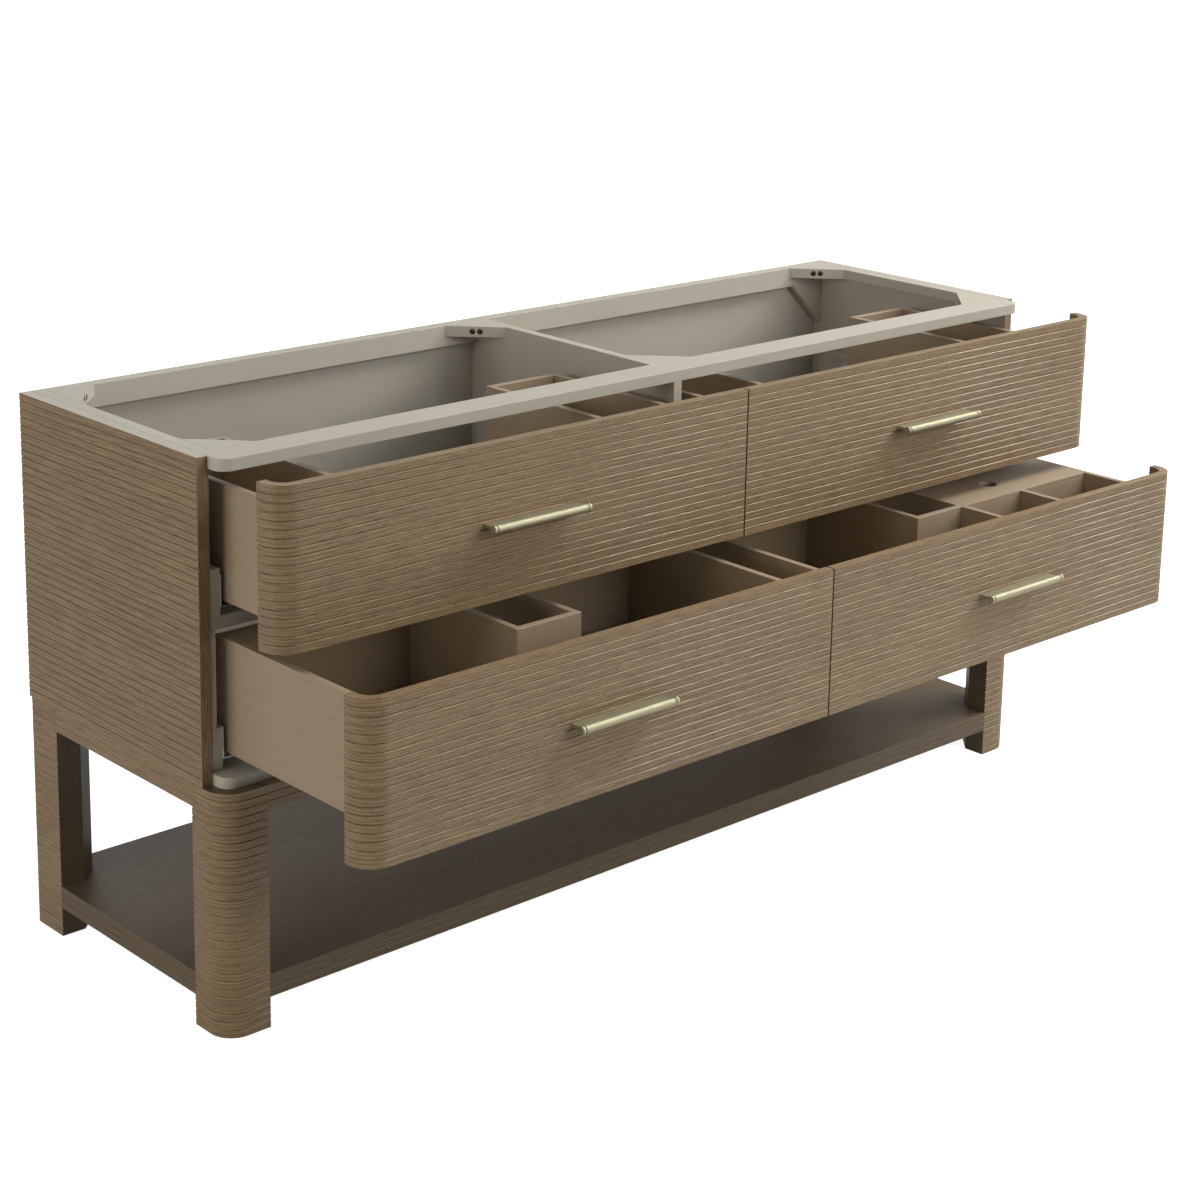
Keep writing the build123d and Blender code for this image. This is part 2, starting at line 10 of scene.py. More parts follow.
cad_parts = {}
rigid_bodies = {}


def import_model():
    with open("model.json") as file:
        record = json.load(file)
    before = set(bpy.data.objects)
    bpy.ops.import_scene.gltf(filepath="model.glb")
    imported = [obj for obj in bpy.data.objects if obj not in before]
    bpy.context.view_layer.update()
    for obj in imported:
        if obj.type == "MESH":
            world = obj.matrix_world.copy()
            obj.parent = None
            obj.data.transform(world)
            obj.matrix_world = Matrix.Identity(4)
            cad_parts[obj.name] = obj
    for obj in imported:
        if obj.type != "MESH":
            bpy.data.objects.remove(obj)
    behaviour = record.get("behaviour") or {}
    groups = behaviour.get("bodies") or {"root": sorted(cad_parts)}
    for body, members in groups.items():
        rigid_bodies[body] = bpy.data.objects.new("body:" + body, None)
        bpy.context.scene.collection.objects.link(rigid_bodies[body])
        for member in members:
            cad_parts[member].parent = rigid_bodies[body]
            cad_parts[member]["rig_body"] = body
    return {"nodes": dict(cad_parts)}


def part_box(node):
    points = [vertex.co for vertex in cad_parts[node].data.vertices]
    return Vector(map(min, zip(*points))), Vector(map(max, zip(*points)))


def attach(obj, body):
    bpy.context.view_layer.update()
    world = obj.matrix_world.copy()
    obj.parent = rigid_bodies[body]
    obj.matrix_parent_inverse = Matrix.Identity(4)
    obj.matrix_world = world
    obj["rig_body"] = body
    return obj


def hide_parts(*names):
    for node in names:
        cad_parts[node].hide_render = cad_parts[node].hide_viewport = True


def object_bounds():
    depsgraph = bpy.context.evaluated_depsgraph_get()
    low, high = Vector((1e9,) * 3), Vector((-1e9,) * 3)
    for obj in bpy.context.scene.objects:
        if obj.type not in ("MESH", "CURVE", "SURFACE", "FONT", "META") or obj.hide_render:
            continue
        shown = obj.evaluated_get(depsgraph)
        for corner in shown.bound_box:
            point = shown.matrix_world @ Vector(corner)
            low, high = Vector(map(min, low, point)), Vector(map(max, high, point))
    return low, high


bl_info = {
    "name": "Reeded Double Vanity",
    "version": (1, 0, 0),
    "blender": (4, 5, 0),
    "location": "3D Viewport > Sidebar > Vanity",
    "description": "Finishes a reeded oak double vanity cabinet on its fixed frame",
    "category": "Object",
}

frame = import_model()
CAD_LOW, CAD_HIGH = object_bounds()
NODES = frame["nodes"]

ROWS = ("upper", "lower")
HANDS = ("left", "right")
ENDS = ("front", "back")
DRAWERS = [f"{row}_{hand}" for row in ROWS for hand in HANDS]
FRONT_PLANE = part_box("leg_front_left")[0].y
OUTER_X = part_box("side_panel_right")[1].x
GRAIN = "grain"
WELD = 0.000005                # corners nearer than this are one corner
FLAT_ANGLE = 0.4               # degrees: faces that turn by less are joined
SHARP_ANGLE = 24               # degrees: edges that turn by more are eased
# The upper wall of a groove takes a painted shade and the lower wall a painted highlight.
GROOVE_WALL = (0.5, 0.9)       # upward or downward share of the normal on the wall of a groove
LEVEL = 0.9                    # the same share on a face that lies flat, with its eased rim
TOP_FACE = 0.95                # the same share on a flat top or bottom, without its eased rim
OTHER_FINISH = 3               # slot of a reeded board's plain or painted faces
BUMP = {"oak": 0.00010, "veneer": 0.00006, "paint": 0.00008, "metal": 0.00002, "floor": 0.0002}
GLOSS = {"oak": 0.44, "lip": 0.16, "brass": 0.60, "zinc": 0.42, "screw": 0.38, "floor": 0.9}
SEEDS = {
    "fronts": 10, "legs": 30, "panels": 40, "aprons": 50, "shelf": 60, "carcass": 70, "boxes": 90,
    "runners": 130, "screws": 150, "handles": 160}
FLOOR_DROP = 0.0005            # keeps the floor clear of the feet
FLOOR_HALF = 40
TURN_STEPS = 40                # facets round a turned bar


# ---------------------------------------------------------------- settings

def length(name, description, default):
    return FloatProperty(name=name, description=description, default=default, unit="LENGTH")


def number(name, description, default):
    return FloatProperty(name=name, description=description, default=default)


def colour(name, description, default):
    return FloatVectorProperty(
        name=name, description=description, default=default, subtype="COLOR", size=3, min=0, max=1)


class OakLook(bpy.types.PropertyGroup):
    light: colour("Light grain", "Late wood of the oak veneer", (0.304, 0.212, 0.113))
    dark: colour("Dark grain", "Early wood of the oak veneer", (0.112, 0.070, 0.033))
    pore: colour("Pores", "Open pores, filled with brown stain", (0.070, 0.046, 0.027))
    # The inside tone darkens the plainer inner faces and the shelf, mostly as painted shade.
    inside: number("Inside painted shade", "Tone of plain inner faces, as a share of the outer oak", 0.50)
    # The groove tone is painted shade on the downward facing wall of each groove, and on both walls on
    # the side panels.
    groove: number("Painted groove shade", "Tone of the stain under each groove's upper lip, as a share", 0.60)
    # The lip tone is a painted highlight on the upward facing wall of each groove.
    lip: number("Painted lip highlight", "Tone of the rubbed lower lip of each groove, as a share", 1.16)
    ring_pitch: length("Ring pitch", "Distance between growth rings", 0.0052)
    wander: number("Wander", "How many rings the figure swings by", 17.0)
    edge: length("Eased edge", "Radius sanded on the edges of the planks", 0.0005)
    front_corner: length("Front corner", "Radius of the outer front corners", 0.040)
    back_corner: length("Back corner", "Radius of the outer back corners", 0.010)
    skin: length("Reeded skin", "Depth of the grooves, with a margin", 0.0019)


class PaintLook(bpy.types.PropertyGroup):
    paint: colour("Paint", "Greige paint of the carcass", (0.468, 0.435, 0.364))
    shade: colour("Thin paint", "Where the paint lies thinner", (0.438, 0.405, 0.336))
    edge: length("Eased edge", "Radius on the edges of the painted boards", 0.0008)


class BoxLook(bpy.types.PropertyGroup):
    light: colour("Light veneer", "Lacquered veneer of the drawer boxes", (0.354, 0.274, 0.186))
    dark: colour("Dark veneer", "Grain lines of the drawer boxes", (0.292, 0.219, 0.143))
    ring_pitch: length("Ring pitch", "Distance between grain lines", 0.019)
    edge: length("Eased edge", "Radius on the edges of the boxes", 0.0009)
    wander: number("Wander", "How many grain lines the figure swings by", 5.0)


class MetalLook(bpy.types.PropertyGroup):
    brass: colour("Brass", "Satin champagne brass of the handles", (0.385, 0.356, 0.240))
    zinc: colour("Zinc", "Zinc plate on the runners", (0.520, 0.520, 0.500))
    screw: colour("Screw steel", "Plated steel of the screws", (0.300, 0.290, 0.270))
    bar_radius: length("Bar radius", "Radius of the handle bar", 0.0062)
    neck_radius: length("Neck radius", "Radius of the groove beside each bead", 0.0052)
    neck_width: length("Neck width", "Width of the groove beside each bead", 0.0014)
    bead_width: length("Bead width", "Width of the bead at each end of a handle", 0.0050)
    ring_width: length("Ring width", "Width of the thin ring beside each bead", 0.0020)
    web_thickness: length("Web thickness", "Thickness of the web from the bar to the front", 0.0050)
    peg_depth: length("Peg depth", "How far the pegs of a handle reach into the front", 0.0080)
    runner_edge: length("Runner edge", "Radius on the folded edges of the runners", 0.0003)
    screw_edge: length("Screw edge", "Radius on the rims of the screw heads", 0.0002)
    socket_wall: length("Socket wall", "Width of the rim round a screw's socket", 0.0019)
    socket_depth: length("Socket depth", "Depth of a screw's socket", 0.0016)


class StageLook(bpy.types.PropertyGroup):
    floor: colour("Floor", "Pale floor", (0.93, 0.93, 0.93))
    backdrop: number("Backdrop", "Brightness of the backdrop as seen", 1.10)
    glow: number("Floor glow", "Light added to the floor as seen", 0.88)
    bounce: number("Floor bounce", "Share of light that the floor gives back", 0.38)
    mirrored: number("Mirrored share", "Share of the backdrop and floor glow that gloss reflects", 0.32)
    sky: number("Sky light", "Strength of the soft light all round", 0.17)
    key: number("Key light", "Power of the large front light", 94.0)
    left: number("Left light", "Power of the soft light on the left", 80.0)
    right: number("Right light", "Power of the high light on the right", 190.0)
    overhead: number("Overhead light", "Power of the soft light above the front", 56.0)
    rear: number("Rear light", "Power of the soft light behind", 24.0)
    lens: number("Lens", "Focal length in millimetres on a 36 mm sensor", 74.65)
    rise: number("Shift", "Vertical shift of the lens", -0.20)
    place: FloatVectorProperty(
        name="Camera place", description="From the middle of the front plane, on the floor",
        default=(-2.7902, -2.8137, 1.8157), subtype="XYZ", unit="LENGTH", size=3)
    yaw: FloatProperty(
        name="Yaw", description="Camera turned to the right of straight ahead",
        default=math.radians(42.72), subtype="ANGLE")
    pitch: FloatProperty(
        name="Pitch", description="Camera tilted up", default=math.radians(-13.01), subtype="ANGLE")
    roll: FloatProperty(
        name="Roll", description="Camera rolled", default=math.radians(1.08), subtype="ANGLE")


LOOKS = {"oak": OakLook, "paint": PaintLook, "boxes": BoxLook, "metal": MetalLook, "stage": StageLook}


def look(name):
    return getattr(bpy.context.scene, f"vanity_{name}")


# ---------------------------------------------------------------- node helpers

def add_node(tree, kind, inputs=(), **settings):
    """A new node; inputs are (socket name or number, value or socket to link) pairs."""
    node = tree.nodes.new(kind)
    for key, value in settings.items():
        setattr(node, key, value)
    for key, value in inputs:
        if isinstance(value, bpy.types.NodeSocket):
            tree.links.new(value, node.inputs[key])
        else:
            node.inputs[key].default_value = value
    return node


def calculate(tree, operation, first, second=0.0, third=0.0, clamp=False):
    node = add_node(
        tree, "ShaderNodeMath", ((0, first), (1, second), (2, third)),
        operation=operation, use_clamp=clamp)
    return node.outputs[0]


def stretched(tree, vector, factors):
    node = add_node(tree, "ShaderNodeVectorMath", ((0, vector), (1, factors)), operation="MULTIPLY")
    return node.outputs[0]


def noise(tree, vector, scale, detail, roughness=0.5):
    node = add_node(
        tree, "ShaderNodeTexNoise",
        (("Vector", vector), ("Scale", scale), ("Detail", detail), ("Roughness", roughness)))
    return node.outputs["Fac"]


def remap(tree, value, low, high, to_low=0.0, to_high=1.0):
    node = add_node(
        tree, "ShaderNodeMapRange",
        (("Value", value), ("From Min", low), ("From Max", high),
         ("To Min", to_low), ("To Max", to_high)))
    return node.outputs["Result"]


def mix_colours(tree, factor, first, second):
    node = add_node(
        tree, "ShaderNodeMix", ((0, factor), (6, first), (7, second)), data_type="RGBA")
    return node.outputs[2]


def new_group(name, inputs, outputs):
    """An empty shader node group; inputs are (name, socket type, default), outputs are names."""
    group = bpy.data.node_groups.new(name, "ShaderNodeTree")
    for label, kind, default in inputs:
        socket = group.interface.new_socket(name=label, in_out="INPUT", socket_type=kind)
        if default is not None:
            socket.default_value = default
    for label in outputs:
        group.interface.new_socket(name=label, in_out="OUTPUT", socket_type="NodeSocketFloat")
    return group, group.nodes.new("NodeGroupInput"), group.nodes.new("NodeGroupOutput")


def wood_grain_group():
    """Growth rings, fibres and pores of flat-sawn wood; the vector runs along, across, through."""
    name = "Wood grain"
    if name in bpy.data.node_groups:
        return bpy.data.node_groups[name]
    group, given, result = new_group(
        name,
        (("Vector", "NodeSocketVector", None), ("Ring pitch", "NodeSocketFloat", 0.011),
         ("Wander", "NodeSocketFloat", 7.0)),
        ("Rings", "Fibres", "Pores", "Height"))
    vector = given.outputs["Vector"]
    across = add_node(group, "ShaderNodeSeparateXYZ", ((0, vector),)).outputs["Y"]
    figure = noise(group, stretched(group, vector, (1.1, 5.5, 5.5)), 1.0, 2.0, 0.4)
    ripple = noise(group, stretched(group, vector, (9.0, 60.0, 60.0)), 1.0, 2.0)
    swing = calculate(group, "MULTIPLY", figure, given.outputs["Wander"])
    count = calculate(group, "DIVIDE", across, given.outputs["Ring pitch"])
    count = calculate(group, "ADD", count, swing)
    count = calculate(group, "MULTIPLY_ADD", ripple, 0.35, count)
    phase = calculate(group, "FRACT", count)
    rise = remap(group, phase, 0.0, 0.42)
    fall = remap(group, phase, 1.0, 0.90)
    rings = calculate(group, "MULTIPLY", rise, fall)
    fibres = noise(group, stretched(group, vector, (26.0, 340.0, 340.0)), 1.0, 3.0, 0.62)
    pits = noise(group, stretched(group, vector, (150.0, 640.0, 640.0)), 1.0, 1.5)
    open_wood = remap(group, rings, 0.0, 0.9, 1.0, 0.35)
    pores = calculate(group, "MULTIPLY", remap(group, pits, 0.54, 0.66), open_wood)
    height = calculate(group, "MULTIPLY_ADD", pores, -0.8, fibres)
    for label, value in (("Rings", rings), ("Fibres", fibres), ("Pores", pores), ("Height", height)):
        group.links.new(value, result.inputs[label])
    return group


def fine_skin_group():
    """Slow drift of tone and a fine roller texture, for paint and lacquer."""
    name = "Fine skin"
    if name in bpy.data.node_groups:
        return bpy.data.node_groups[name]
    group, given, result = new_group(
        name,
        (("Vector", "NodeSocketVector", None), ("Drift scale", "NodeSocketFloat", 6.0),
         ("Skin scale", "NodeSocketFloat", 420.0)),
        ("Drift", "Height"))
    vector = given.outputs["Vector"]
    drift = noise(group, vector, given.outputs["Drift scale"], 4.0, 0.55)
    skin = noise(group, vector, given.outputs["Skin scale"], 2.0)
    group.links.new(remap(group, drift, 0.3, 0.7), result.inputs["Drift"])
    group.links.new(skin, result.inputs["Height"])
    return group


def new_material(name, bump_distance, settings):
    """A material with a Principled shader and a Bump node; gives material, tree, shader, bump."""
    material = bpy.data.materials.new(name)
    material.use_nodes = True
    tree = material.node_tree
    shader = tree.nodes["Principled BSDF"]
    for label, value in settings.items():
        shader.inputs[label].default_value = value
    bump = add_node(tree, "ShaderNodeBump", (("Strength", 1.0), ("Distance", bump_distance)))
    tree.links.new(bump.outputs["Normal"], shader.inputs["Normal"])
    return material, tree, shader, bump


def board_vector(tree):
    return add_node(tree, "ShaderNodeAttribute", attribute_name=GRAIN).outputs["Vector"]


def rgba(value, factor=1.0):
    return (*(channel * factor for channel in value), 1.0)


def wood_material(name, tints, figure, contrast, bump_distance, roughness):
    """Stained and lacquered wood; tints are light, dark and pore, figure is ring pitch and wander."""
    if name in bpy.data.materials:
        return bpy.data.materials[name]
    material, tree, shader, bump = new_material(name, bump_distance, {"Specular IOR Level": 0.42})
    light, dark, pore = tints
    ring_pitch, wander = figure
    vector = board_vector(tree)
    grain = add_node(tree, "ShaderNodeGroup", node_tree=wood_grain_group())
    tree.links.new(vector, grain.inputs["Vector"])
    grain.inputs["Ring pitch"].default_value = ring_pitch
    grain.inputs["Wander"].default_value = wander
    skin = add_node(tree, "ShaderNodeGroup", node_tree=fine_skin_group())
    tree.links.new(stretched(tree, vector, (0.35, 1.6, 1.6)), skin.inputs["Vector"])
    tone = calculate(tree, "MULTIPLY", grain.outputs["Rings"], 0.36 * contrast)
    fibres = remap(tree, grain.outputs["Fibres"], 0.34, 0.66)
    tone = calculate(tree, "MULTIPLY_ADD", fibres, 0.48 * contrast, tone)
    tone = calculate(tree, "MULTIPLY_ADD", skin.outputs["Drift"], 0.22, tone)
    tone = calculate(tree, "ADD", tone, 0.4 * (1 - contrast), clamp=True)
    base = mix_colours(tree, tone, rgba(dark), rgba(light))
    pores = calculate(tree, "MULTIPLY", grain.outputs["Pores"], 0.72 * contrast)
    tree.links.new(mix_colours(tree, pores, base, rgba(pore)), shader.inputs["Base Color"])
    tree.links.new(
        remap(tree, grain.outputs["Fibres"], 0.2, 0.8, roughness + 0.07, roughness - 0.05),
        shader.inputs["Roughness"])
    tree.links.new(grain.outputs["Height"], bump.inputs["Height"])
    return material


def oak(kind="Reeded oak"):
    """Reeded oak, the walls of its grooves with painted shade above and a painted highlight below, or
    the plainer oak of inner faces and the shelf, darkened as painted shade.
    """
    settings = look("oak")
    # Shares that paint light: shade on inner faces and upper groove walls, a highlight on lower groove
    # walls.
    painted_light_shares = {"Inner oak": settings.inside, "Groove oak": settings.groove, "Lip oak": settings.lip}
    share = painted_light_shares.get(kind, 1.0)
    tints = [
        [channel * share for channel in tint] for tint in (settings.light, settings.dark, settings.pore)]
    return wood_material(
        kind, tints, (settings.ring_pitch, settings.wander), 0.8 if kind == "Inner oak" else 1.0,
        BUMP["oak"], GLOSS["lip" if kind == "Lip oak" else "oak"])


def drawer_veneer():
    settings = look("boxes")
    return wood_material(
        "Drawer veneer", (settings.light, settings.dark, settings.dark),
        (settings.ring_pitch, settings.wander), 0.55, BUMP["veneer"], GLOSS["oak"])


def carcass_paint():
    """Greige paint with a faint roller skin."""
    name = "Greige paint"
    if name in bpy.data.materials:
        return bpy.data.materials[name]
    settings = look("paint")
    material, tree, shader, bump = new_material(name, BUMP["paint"], {"Specular IOR Level": 0.40})
    skin = add_node(tree, "ShaderNodeGroup", node_tree=fine_skin_group())
    tree.links.new(board_vector(tree), skin.inputs["Vector"])
    drift = skin.outputs["Drift"]
    base = mix_colours(tree, drift, rgba(settings.shade), rgba(settings.paint))
    tree.links.new(base, shader.inputs["Base Color"])
    tree.links.new(remap(tree, drift, 0.0, 1.0, 0.56, 0.47), shader.inputs["Roughness"])
    tree.links.new(skin.outputs["Height"], bump.inputs["Height"])
    return material


def metal(name, tint, roughness, scratch):
    """Satin metal, drawn along its length; scratch stretches the fine lines."""
    if name in bpy.data.materials:
        return bpy.data.materials[name]
    material, tree, shader, bump = new_material(name, BUMP["metal"], {"Metallic": 1.0})
    vector = add_node(tree, "ShaderNodeTexCoord").outputs["Object"]
    lines = noise(tree, stretched(tree, vector, scratch), 1.0, 3.0, 0.6)
    clouds = noise(tree, vector, 35.0, 3.0)
    tree.links.new(
        mix_colours(tree, remap(tree, clouds, 0.3, 0.7), rgba(tint, 0.86), rgba(tint)),
        shader.inputs["Base Color"])
    tree.links.new(
        remap(tree, lines, 0.3, 0.7, roughness - 0.06, roughness + 0.08), shader.inputs["Roughness"])
    tree.links.new(lines, bump.inputs["Height"])
    return material


def brass():
    return metal("Satin brass", look("metal").brass, GLOSS["brass"], (40.0, 2600.0, 2600.0))


def zinc():
    return metal("Zinc plate", look("metal").zinc, GLOSS["zinc"], (900.0, 60.0, 900.0))


def screw_steel():
    return metal("Screw steel", look("metal").screw, GLOSS["screw"], (700.0, 700.0, 700.0))


# ---------------------------------------------------------------- board work

def board_copy(node):
    """The node's boards as clean polygons: seams welded and flat faces joined."""
    work = bmesh.new()
    work.from_mesh(NODES[node].data)
    bmesh.ops.remove_doubles(work, verts=work.verts, dist=WELD)
    bmesh.ops.dissolve_limit(
        work, angle_limit=math.radians(FLAT_ANGLE), verts=work.verts, edges=work.edges)
    work.normal_update()
    return work


def ease_edges(work, radius):
    """Sand a small round on every sharp outer edge."""
    least = math.radians(SHARP_ANGLE)
    sharp = [
        edge for edge in work.edges
        if edge.is_manifold and edge.is_convex and edge.calc_face_angle() > least]
    bmesh.ops.bevel(
        work, geom=sharp, offset=radius, offset_type="OFFSET", segments=2, profile=0.5,
        affect="EDGES", clamp_overlap=True)
    work.normal_update()


def separate_boards(work):
    """Lists of faces, one for each loose board."""
    left = set(work.faces)
    boards = []
    while left:
        stack = [left.pop()]
        found = []
        while stack:
            face = stack.pop()
            found.append(face)
            for edge in face.edges:
                for other in edge.link_faces:
                    if other in left:
                        left.remove(other)
                        stack.append(other)
        boards.append(found)
    return boards


def lay_grain(work, seed, place=None):
    """Store where each corner lies in its board: along, across and through the grain.

    place(face, point) gives the three. Without it, the grain of a face follows its longer side.
    """
    layer = work.loops.layers.float_vector.new(GRAIN)
    chance = random.Random(seed)
    for faces in separate_boards(work):
        start = Vector((chance.uniform(0, 20), chance.uniform(0, 9), chance.uniform(0, 9)))
        for face in faces:
            spans = [
                max(v.co[i] for v in face.verts) - min(v.co[i] for v in face.verts) for i in range(3)]
            through = max(range(3), key=lambda i: abs(face.normal[i]))
            along, across = sorted((i for i in range(3) if i != through), key=lambda i: -spans[i])
            for corner in face.loops:
                point = corner.vert.co
                if place:
                    laid = place(face, point)
                else:
                    laid = (point[along], point[across], point[through])
                corner[layer] = start + Vector(laid)


def round_corner_place(hand, end, radius):
    """A function that unrolls a board round an outer corner: along the wrap, and inward."""
    side = -1 if hand == "left" else 1

    def place(point, front):
        from_side = OUTER_X - side * point.x
        from_front = point.y - front if end == "front" else front - point.y
        if from_side >= radius:
            return from_side - radius, from_front
        if from_front >= radius:
            return -radius * math.pi / 2 - (from_front - radius), from_side
        angle = math.atan2(radius - from_side, radius - from_front)
        return -radius * angle, radius - math.hypot(radius - from_side, radius - from_front)

    return place


def add_piece(name, work, materials, node, sharp_angle=40):
    """Turn the worked mesh into a piece that stands for a node and rides on its body."""
    mesh = bpy.data.meshes.new(name)
    work.to_mesh(mesh)
    work.free()
    for material in materials:
        mesh.materials.append(material)
    mesh.shade_smooth()
    mesh.set_sharp_from_angle(angle=math.radians(sharp_angle))
    piece = bpy.data.objects.new(name, mesh)
    bpy.context.scene.collection.objects.link(piece)
    flat = piece.modifiers.new("Flat faces stay flat", "WEIGHTED_NORMAL")
    flat.keep_sharp = True
    flat.weight = 100
    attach(piece, NODES[node]["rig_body"])
    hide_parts(node)


def add_boards(prefix, nodes, materials, radius, first_seed):
    """Square boards with eased edges, one piece for each node."""
    for seed, node in enumerate(nodes, first_seed):
        work = board_copy(node)
        ease_edges(work, radius)
        lay_grain(work, seed)
        add_piece(f"{prefix}_{node}", work, materials, node)


# ---------------------------------------------------------------- pieces

def groove_slot(face):
    """Slot of a groove's upper wall (1), which slopes down and takes the painted shade, its lower wall
    (2), which takes the painted highlight, or a plain face (0).
    """
    least, most = GROOVE_WALL
    if not least < abs(face.normal.z) < most:
        return 0
    return 1 if face.normal.z < 0.0 else 2


def reeded_oaks(plain=None):
    """Materials in the order of the slots: face, upper wall with painted shade, lower wall with painted
    highlight and the board's other finish.
    """
    oaks = [oak(), oak("Groove oak"), oak("Lip oak")]
    return oaks + [plain] if plain else oaks


def make_drawer_fronts():
    settings = look("oak")
    for seed, drawer in enumerate(DRAWERS, SEEDS["fronts"]):
        node = f"{drawer}_front"
        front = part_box(node)[0].y
        unroll = round_corner_place(drawer.split("_")[1], "front", settings.front_corner)
        work = board_copy(node)
        ease_edges(work, settings.edge)

        def place(face, point):
            along, inward = unroll(point, front)
            if abs(face.normal.z) > LEVEL:
                return along, inward, point.z
            return along, point.z, inward

        lay_grain(work, seed, place)
        # Groove walls take the painted shade (upper) and the painted highlight (lower).
        for face in work.faces:
            face.material_index = groove_slot(face)
        add_piece(f"oak_{node}", work, reeded_oaks(), node)


def make_legs():
    """Reeded legs; the planks run round the outer faces, and the inner faces are plain and darkened as
    painted shade.
    """
    settings = look("oak")
    seed = SEEDS["legs"]
    for end in ENDS:
        radius = settings.front_corner if end == "front" else settings.back_corner
        for hand in HANDS:
            node = f"leg_{end}_{hand}"
            low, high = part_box(node)
            front = low.y if end == "front" else high.y
            unroll = round_corner_place(hand, end, radius)
            work = board_copy(node)
            ease_edges(work, settings.edge)
            # Inner faces take the inner oak with painted shade; groove walls take the painted shade and
            # the painted highlight.
            for face in work.faces:
                depth = max(unroll(v.co, front)[1] for v in face.verts)
                plain = depth > settings.skin or abs(face.normal.z) > TOP_FACE
                face.material_index = OTHER_FINISH if plain else groove_slot(face)

            def place(face, point):
                along, inward = unroll(point, front)
                if face.material_index == OTHER_FINISH:
                    return point.z, along, inward
                return along, point.z, inward

            lay_grain(work, seed, place)
            seed += 1
            add_piece(f"oak_{node}", work, reeded_oaks(oak("Inner oak")), node)


def make_side_panels():
    """Reeded side panels with painted shade on both walls of each groove, and greige paint on the top
    edge and the inside.
    """
    settings = look("oak")
    for seed, hand in enumerate(HANDS, SEEDS["panels"]):
        node = f"side_panel_{hand}"
        low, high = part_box(node)
        inner_x = high.x if hand == "left" else low.x
        work = board_copy(node)
        for face in work.faces:
            middle = face.calc_center_median()
            painted = face.normal.z > TOP_FACE and abs(middle.z - high.z) < settings.skin
            painted = painted or abs(middle.x - inner_x) < settings.skin
            # Both walls of each groove take the painted shade.
            face.material_index = OTHER_FINISH if painted else min(groove_slot(face), 1)
        ease_edges(work, settings.edge)
        lay_grain(work, seed)
        add_piece(f"oak_{node}", work, reeded_oaks(carcass_paint()), node)


def make_aprons():
    settings = look("oak")
    for seed, place in enumerate((*ENDS, *HANDS), SEEDS["aprons"]):
        node = f"apron_{place}"
        work = board_copy(node)
        # Groove walls take the painted shade (upper) and the painted highlight (lower).
        for face in work.faces:
            face.material_index = groove_slot(face)
        ease_edges(work, settings.edge)
        lay_grain(work, seed)
        add_piece(f"oak_{node}", work, reeded_oaks(), node)


def make_shelf():
    """Low shelf in the plainer oak, darkened as painted shade."""
    add_boards(
        "oak", ["low_shelf"], [oak("Inner oak")], look("oak").edge, SEEDS["shelf"])


def make_carcass():
    settings = look("paint")
    nodes = (
        "centre_partition", "bottom_panel", "back_panel", "front_top_rail", "back_top_stretcher",
        "side_top_rails", "corner_gussets", "back_corner_braces", "mid_rails",
        "upper_runner_blocks", "lower_runner_blocks", "side_liners")
    add_boards("painted", nodes, [carcass_paint()], settings.edge, SEEDS["carcass"])


def make_drawer_boxes():
    settings = look("boxes")
    nodes = [
        f"{drawer}_{part}" for drawer in DRAWERS
        for part in ("box_sides", "box_ends", "notch_wall", "box_bottom")]
    nodes += ["lower_right_cell_dividers", "lower_right_tray"]
    add_boards("veneered", nodes, [drawer_veneer()], settings.edge, SEEDS["boxes"])


def make_runners():
    nodes = ["runner_angles"]
    nodes += [f"{drawer}_{part}" for drawer in DRAWERS for part in ("channels", "slides")]
    add_boards("zinc", nodes, [zinc()], look("metal").runner_edge, SEEDS["runners"])


def make_gusset_screws():
    """Pan heads with a round drive socket, down in the pocket holes."""
    settings = look("metal")
    node = "gusset_screws"
    work = board_copy(node)
    widest = sorted(work.faces, key=lambda face: -face.calc_area())
    rounds = [face for face in widest if len(face.verts) > 8 and abs(face.normal.z) < 0.2]
    for face in rounds[:len(separate_boards(work))]:
        bmesh.ops.inset_individual(
            work, faces=[face], thickness=settings.socket_wall, depth=-settings.socket_depth)
    ease_edges(work, settings.screw_edge)
    lay_grain(work, SEEDS["screws"])
    add_piece("steel_gusset_screws", work, [screw_steel()], node)


def turned(work, profile, origin, axis):
    """Turn a profile of (distance along the axis, radius) points into a closed round shape."""
    turn = axis.to_track_quat("Z", "Y").to_matrix()
    rings = []
    for along, radius in profile:
        if radius == 0:
            rings.append([work.verts.new(origin + turn @ Vector((0, 0, along)))])
            continue
        ring = []
        for step in range(TURN_STEPS):
            angle = 2 * math.pi * step / TURN_STEPS
            spot = Vector((radius * math.cos(angle), radius * math.sin(angle), along))
            ring.append(work.verts.new(origin + turn @ spot))
        rings.append(ring)
    for first, second in zip(rings, rings[1:]):
        for step in range(TURN_STEPS):
            following = (step + 1) % TURN_STEPS
            if len(first) == 1:
                work.faces.new((first[0], second[following], second[step]))
            elif len(second) == 1:
                work.faces.new((first[step], first[following], second[0]))
            else:
                work.faces.new((first[step], first[following], second[following], second[step]))


def rounded(start, stop, radius, ease):
    """Profile points of a short drum with eased rims."""
    return [(start, radius - ease), (start + ease, radius), (stop - ease, radius), (stop, radius - ease)]


